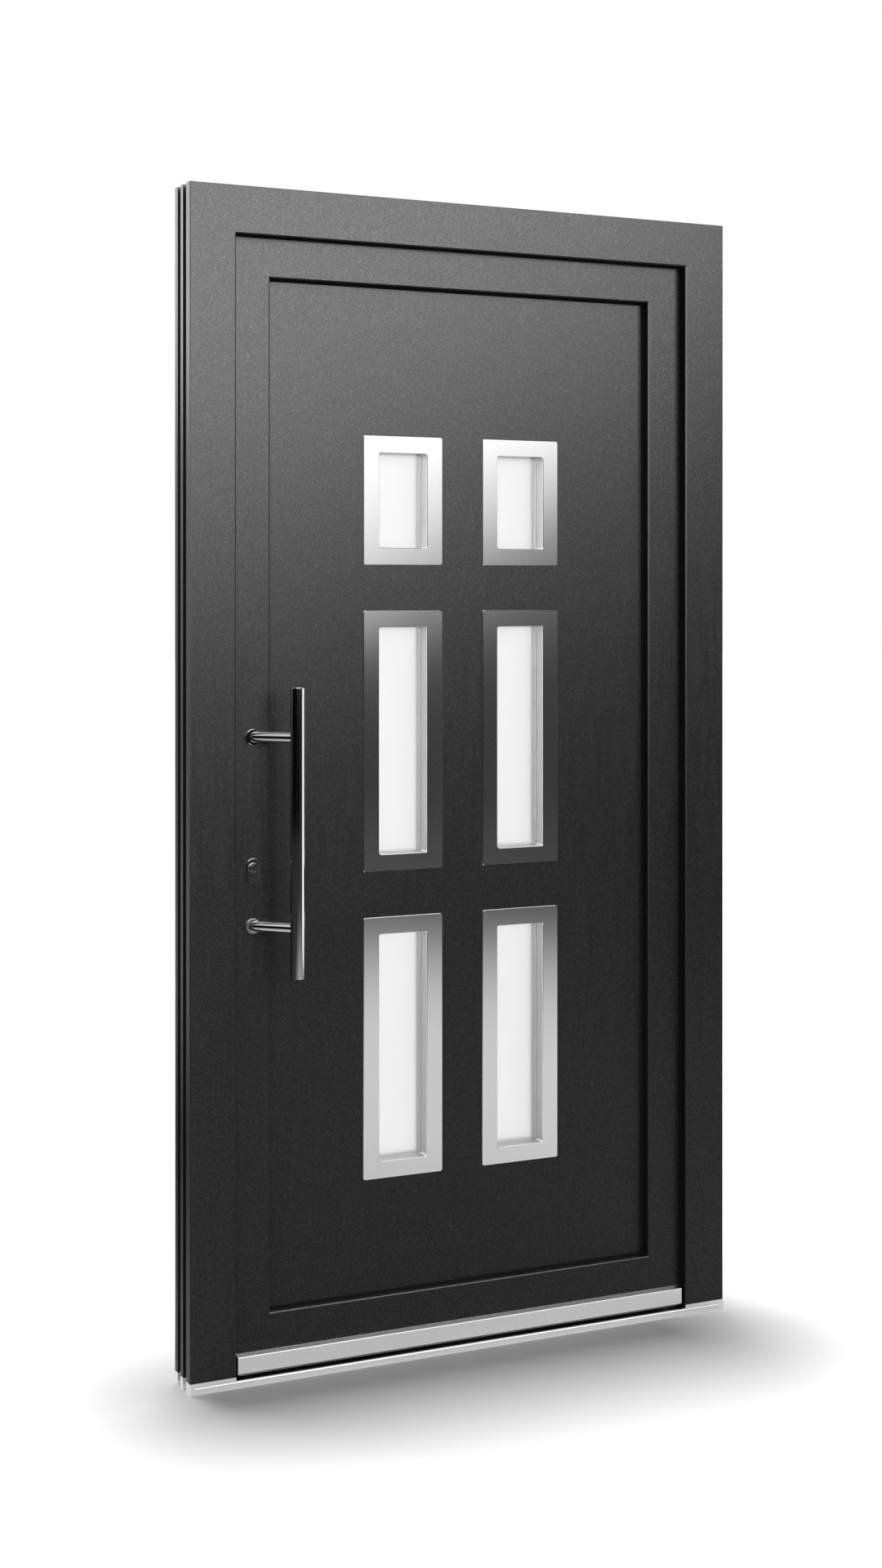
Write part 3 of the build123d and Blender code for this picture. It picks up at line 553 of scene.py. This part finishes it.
def make_lock_fittings(steel, bolt_steel):
    """Screws of the keeps and the lock's edge plate, and the latch and bolts, drawn back."""
    keep_screws = Fitting()
    for height in KEEP_SCREW_HEIGHTS:
        keep_screws.screw(at(KEEP_FACE_X, BOLT_DEPTH, height), RIGHTWARDS, *KEEP_SCREW)
    keep_screws.finish("keep_screws", "frame", "lock_metal", steel)

    strip_screws = Fitting()
    for height in STRIP_SCREW_HEIGHTS:
        strip_screws.screw(at(LOCK_EDGE_X, BOLT_DEPTH, height), LEFTWARDS, *STRIP_SCREW)
    strip_screws.finish("lock_strip_screws", "leaf", "lock_metal", steel)

    bolts = Fitting()
    half = BOLT_SLOT_HALF - BOLT_PLAY
    root = LOCK_EDGE_X + BOLT_ROOT
    nose = LOCK_EDGE_X - BOLT_PROUD
    near = BOLT_DEPTH - BOLT_HALF_WIDTH
    far = BOLT_DEPTH + BOLT_HALF_WIDTH
    for height in BOLT_HEIGHTS:
        slant = LATCH_SLANT if height == LATCH_HEIGHT else BOLT_SLANT
        outline = [(root, near), (nose, near), (nose + slant, far), (root, far)]
        foot = [at(x, depth, height - half) for x, depth in outline]
        bolts.extruded(foot, Vector((0, 0, 2 * half * MM)), BOLT_BEVEL)
    bolts.finish("lock_bolts", "leaf", "lock_metal", bolt_steel)


def make_cylinder_fittings(steel, plug_steel, dark):
    """Screws of the indoor handle plate, and the cylinder's plugs, each with a dark keyway patch painted as
    the shade in the slot.
    """
    plate_screws = Fitting()
    for height in PLATE_SCREW_HEIGHTS:
        plate_screws.screw(at(LOCK_X, INNER_PLATE_FACE, height), INDOORS, *PLATE_SCREW)
    plate_screws.finish("inner_plate_screws", "leaf", "handle_steel", steel)

    plugs = Fitting()
    keyway_shades = Fitting()
    for depth, axis in ((CYLINDER_FRONT, OUTDOORS), (CYLINDER_BACK, INDOORS)):
        end = at(LOCK_X, depth, CYLINDER_HEIGHT)
        plugs.turned(end, axis, discs(PLUG_PROFILE))
        # The keyway is a dark patch on the plug, painted shade standing in for the slot.
        keyway_shades.turned(end, axis, KEYWAY_SHADE_RINGS)
    plugs.finish("cylinder_plugs", "leaf", "lock_metal", plug_steel)
    keyway_shades.finish("cylinder_keyway_shades", "leaf", "lock_metal", dark)


def make_drip_strip():
    """Thin stepped strip under the weather bar."""
    back = DRIP_DEPTH + DRIP_THICKNESS
    web = back - DRIP_WEB
    outline = [(back, DRIP_TOP), (web, DRIP_TOP), (web, DRIP_STEP), (DRIP_DEPTH, DRIP_STEP - DRIP_STEP_FALL),
               (DRIP_DEPTH, DRIP_FOOT), (back, DRIP_FOOT)]
    end = [at(-DRIP_HALF, depth, z) for depth, z in outline]
    drip = Fitting()
    drip.extruded(end, Vector((2 * DRIP_HALF * MM, 0, 0)), DRIP_BEVEL)
    drip.finish("drip_strip", "leaf", "weather_bar_metal",
                metal("drip_metal", colour=(0.19, 0.19, 0.192), roughness=0.35, spread=0.04))


def make_fittings():
    """Screws, caps, bolts, lock plugs and the drip strip."""
    steel = metal("screw_steel", colour=(0.5, 0.5, 0.5), roughness=0.25, spread=0.05)
    bolt_steel = metal("bolt_steel", colour=(0.56, 0.56, 0.56), roughness=0.2, spread=0.04,
                       scale=600, stretch=(1, 1, 0.1))
    plug_steel = metal("plug_steel", colour=(0.52, 0.52, 0.52), roughness=0.09, spread=0.01)
    dark = metal("screw_dark", colour=(0.06, 0.06, 0.062), roughness=0.35, spread=0.05)
    make_hinge_fittings(dark)
    make_lock_fittings(steel, bolt_steel)
    make_cylinder_fittings(steel, plug_steel, dark)
    make_drip_strip()


def make_world():
    """White to the eye, in glass and in metal, and a plain even light on everything."""
    world = bpy.data.worlds.new("world")
    bpy.context.scene.world = world
    world.use_nodes = True
    graph = Graph(world.node_tree)
    path = graph.node("LightPath")
    seen = path.outputs["Is Camera Ray"]
    for ray in ("Is Glossy Ray", "Is Transmission Ray"):
        seen = graph.math("MAXIMUM", seen, path.outputs[ray])
    background = graph.tree.nodes["Background"]
    graph.join(background.inputs["Color"], (1, 1, 1, 1))
    graph.join(background.inputs["Strength"], graph.span(seen, 0.0, 1.0, WORLD_LEVEL, 1.0))


def mirrored_level(graph, place):
    """Brightness of the floor in reflections: pale close in front of the door and far behind it."""
    distance = graph.vector("DISTANCE", place, FLOOR_CENTRE)
    near = graph.span(distance, FLOOR_BRIGHT, FLOOR_DARK, *FLOOR_LEVELS, blend="SMOOTHSTEP")
    side = graph.node("SeparateXYZ")
    graph.join(side.inputs["Vector"], place)
    behind = graph.span(side.outputs["Y"], *BEHIND_SPAN, 0.0, BEHIND_LEVEL, blend="SMOOTHSTEP")
    return graph.math("MAXIMUM", near, behind)


def distance_from_painted_shadow(graph, place):
    """Distance from a block round the door's foot, inside which the floor keeps its full painted shadow."""
    offset = graph.vector("ABSOLUTE", graph.vector("SUBTRACT", place, PAINTED_SHADOW_CENTRE))
    outside = graph.vector("MAXIMUM", graph.vector("SUBTRACT", offset, PAINTED_SHADOW_HALF), (0, 0, 0))
    return graph.vector("LENGTH", outside)


def floor_material():
    """White floor that keeps the real shadow and a painted shadow round the door's foot, and glows in
    reflections as a painted reflection that darkens far off.
    """
    material = bpy.data.materials.new("floor")
    material.use_nodes = True
    graph = Graph(material.node_tree)
    graph.tree.nodes.remove(graph.tree.nodes["Principled BSDF"])
    place = graph.node("NewGeometry").outputs["Position"]
    path = graph.node("LightPath")
    camera = path.outputs["Is Camera Ray"]
    glossy = path.outputs["Is Glossy Ray"]
    through_glass = path.outputs["Is Transmission Ray"]
    mirrored = mirrored_level(graph, place)
    distance = distance_from_painted_shadow(graph, place)

    colour = mirrored
    for ray, level in ((camera, SHADOW_FLOOR), (through_glass, 0.0)):
        mix = graph.node("Mix", data_type="FLOAT")
        graph.join(mix.inputs["Factor"], ray)
        graph.join(mix.inputs["A"], colour)
        graph.join(mix.inputs["B"], level)
        colour = mix.outputs["Result"]
    diffuse = graph.node("BsdfDiffuse")
    graph.join(diffuse.inputs["Color"], colour)

    # Camera rays: the white lift grows away from the door's foot and leaves a painted shadow there. Glossy
    # rays: the floor glows, a painted reflection, strongest near the door's foot.
    clear = graph.span(distance, 0.0, PAINTED_SHADOW_REACH)
    close = graph.span(distance, 0.0, CLOSE_REACH, CLOSE_GLOW, 0.0)
    glows = (
        graph.math("MULTIPLY", camera, clear),
        through_glass,
        graph.math("MULTIPLY", graph.math("MULTIPLY", glossy, mirrored), MIRRORED_GLOW),
        graph.math("MULTIPLY", glossy, close),
    )
    total = diffuse.outputs["BSDF"]
    for level in glows:
        glow = graph.node("Emission")
        graph.join(glow.inputs["Strength"], level)
        both = graph.node("AddShader")
        graph.join(both.inputs[0], total)
        graph.join(both.inputs[1], glow.outputs["Emission"])
        total = both.outputs["Shader"]
    graph.join(graph.tree.nodes["Material Output"].inputs["Surface"], total)
    return material


def mesh_object(name, vertices, faces):
    """New object from corner points and faces."""
    mesh = bpy.data.meshes.new(name)
    mesh.from_pydata(vertices, [], faces)
    piece = bpy.data.objects.new(name, mesh)
    bpy.context.scene.collection.objects.link(piece)
    return piece


def make_floor():
    """Plain pale floor under the door."""
    half = FLOOR_SIZE / 2
    corners = [(-half, -half, 0), (half, -half, 0), (half, half, 0), (-half, half, 0)]
    floor = mesh_object("floor", corners, [(0, 1, 2, 3)])
    floor.data.materials.append(floor_material())


def make_screen(name, start, end, height):
    """Dark screen along an arc round the studio, in degrees, seen only in reflections."""
    points = []
    for step in range(SCREEN_STEPS + 1):
        angle = math.radians(start + (end - start) * step / SCREEN_STEPS)
        x = SCREEN_RADIUS * math.cos(angle)
        y = SCREEN_RADIUS * math.sin(angle)
        points += [(x, y, 0), (x, y, height)]
    faces = [(i, i + 2, i + 3, i + 1) for i in range(0, 2 * SCREEN_STEPS, 2)]
    screen = mesh_object(name, points, faces)
    finish = bpy.data.materials.new(name)
    finish.use_nodes = True
    shader = finish.node_tree.nodes["Principled BSDF"]
    shader.inputs["Base Color"].default_value = (SCREEN_GREY, SCREEN_GREY, SCREEN_GREY, 1)
    shader.inputs["Roughness"].default_value = 1.0
    shader.inputs["Specular IOR Level"].default_value = 0.0
    screen.data.materials.append(finish)
    screen.visible_camera = False
    screen.visible_transmission = False
    screen.visible_shadow = False
    screen.visible_diffuse = False


def lamp(name, place, aim, size, radiance, lit=None, diffuse=True):
    """Rectangular soft light that faces a point, for all pieces or for one set of them."""
    width, height = size
    light = bpy.data.lights.new(name, "AREA")
    light.shape = "RECTANGLE"
    light.size = width
    light.size_y = height
    light.energy = radiance * math.pi * width * height
    piece = bpy.data.objects.new(name, light)
    piece.location = place
    direction = Vector(aim) - Vector(place)
    piece.rotation_euler = direction.to_track_quat("-Z", "Y").to_euler()
    piece.visible_camera = False
    piece.visible_diffuse = diffuse
    piece.light_linking.receiver_collection = lit
    bpy.context.scene.collection.objects.link(piece)
    return piece


def make_key(name, radiance, stops, lit):
    """Wide soft box in front, seen only in reflections, with its brightness set by height.

    Each stop is a height and a level. The heights lean, so that the lower right is darkest.
    """
    piece = lamp(name, KEY_PLACE, KEY_AIM, KEY_SIZE, radiance, lit, diffuse=False)
    piece.data.use_nodes = True
    graph = Graph(piece.data.node_tree)
    place = graph.node("NewGeometry").outputs["Position"]
    limited = graph.vector("MAXIMUM", place, KEY_LEAST)
    leaning = graph.vector("DOT_PRODUCT", limited, (-KEY_LEAN, 0, 1))
    first = stops[0][0]
    last = stops[-1][0]
    middle = KEY_LEAN * KEY_MIDDLE
    ramp = graph.node("ValToRGB")
    elements = ramp.color_ramp.elements
    for height, level in stops[1:-1]:
        elements.new((height - first) / (last - first))
    for element, (height, level) in zip(elements, stops):
        element.color = (level, level, level, 1)
    graph.join(ramp.inputs["Fac"], graph.span(leaning, first - middle, last - middle))
    graph.join(graph.tree.nodes["Emission"].inputs["Strength"], ramp.outputs["Color"])


def light_sets():
    """The foil-covered pieces, and all the rest of the door and its stage."""
    sets = {name: bpy.data.collections.new(name) for name in ("foil_pieces", "other_pieces")}
    slots = {part["node"]: part["material_slot"] for part in frame["record"]["subparts"]}
    foiled = {frame["nodes"][node].name for node, slot in slots.items() if slot.endswith("_foil")}
    for piece in bpy.context.scene.objects:
        if piece.type == "MESH":
            sets["foil_pieces" if piece.name in foiled else "other_pieces"].objects.link(piece)
    return sets["foil_pieces"], sets["other_pieces"]


def make_lights():
    """Soft boxes in front, above, at both sides and behind, most of them seen only in reflections.

    The foil and the metal each have a key of their own, so that both read as in the photograph.
    """
    foiled, others = light_sets()
    make_key("key", KEY_RADIANCE, KEY_STOPS, foiled)
    make_key("key_metal", METAL_RADIANCE, METAL_STOPS, others)
    lamp("key_low", place=(3.3, -6.0, 0.62), aim=(3.3, 0.0, 0.62), size=(2.4, 1.05),
         radiance=LOW_RADIANCE, lit=others, diffuse=False)
    lamp("key_above", place=(0.6, -3.4, 8.4), aim=(0.6, 0.0, 1.5), size=(9.2, 5.5),
         radiance=SIDE_RADIANCE, lit=foiled, diffuse=False)
    lamp("key_side", place=(-4.5, -1.9, 4.2), aim=(0.0, -1.9, 4.2), size=(8.2, 6.1),
         radiance=SIDE_RADIANCE, lit=foiled, diffuse=False)
    lamp("top", place=(-0.4, 2.5, 4.5), aim=(0.0, 0.0, 0.5), size=(4.0, 2.5), radiance=TOP_RADIANCE)
    lamp("rim", place=(-3.4, 8.5, 4.5), aim=(0.0, 0.0, 1.0), size=(5.0, 4.0), radiance=RIM_RADIANCE)
    lamp("ceiling", place=(-0.6, -1.2, 5.0), aim=(-0.6, -1.0, 0.0), size=(5.0, 3.5),
         radiance=CEILING_RADIANCE, diffuse=False)
    lamp("strip", place=(3.9, -0.55, 1.3), aim=(-0.36, -0.55, 1.3), size=(4.4, 2.6),
         radiance=STRIP_RADIANCE, diffuse=False)


def make_camera():
    """Camera at the photograph's angle, level, with its frame shifted down."""
    camera = bpy.data.cameras.new("camera")
    camera.lens = CAMERA_LENS
    camera.sensor_width = CAMERA_SENSOR
    camera.sensor_fit = "AUTO"
    camera.shift_y = CAMERA_SHIFT
    piece = bpy.data.objects.new("camera", camera)
    piece.location = CAMERA_PLACE
    piece.rotation_euler = (math.pi / 2, 0, CAMERA_TURN)
    bpy.context.scene.collection.objects.link(piece)
    bpy.context.scene.camera = piece


bpy.context.scene.view_settings.view_transform = "Standard"
dress()
make_fittings()
make_world()
make_floor()
make_screen("screen_front", start=215, end=380, height=SCREEN_FRONT_HEIGHT)
make_screen("screen_left", start=150, end=215, height=SCREEN_LEFT_HEIGHT)
make_lights()
make_camera()
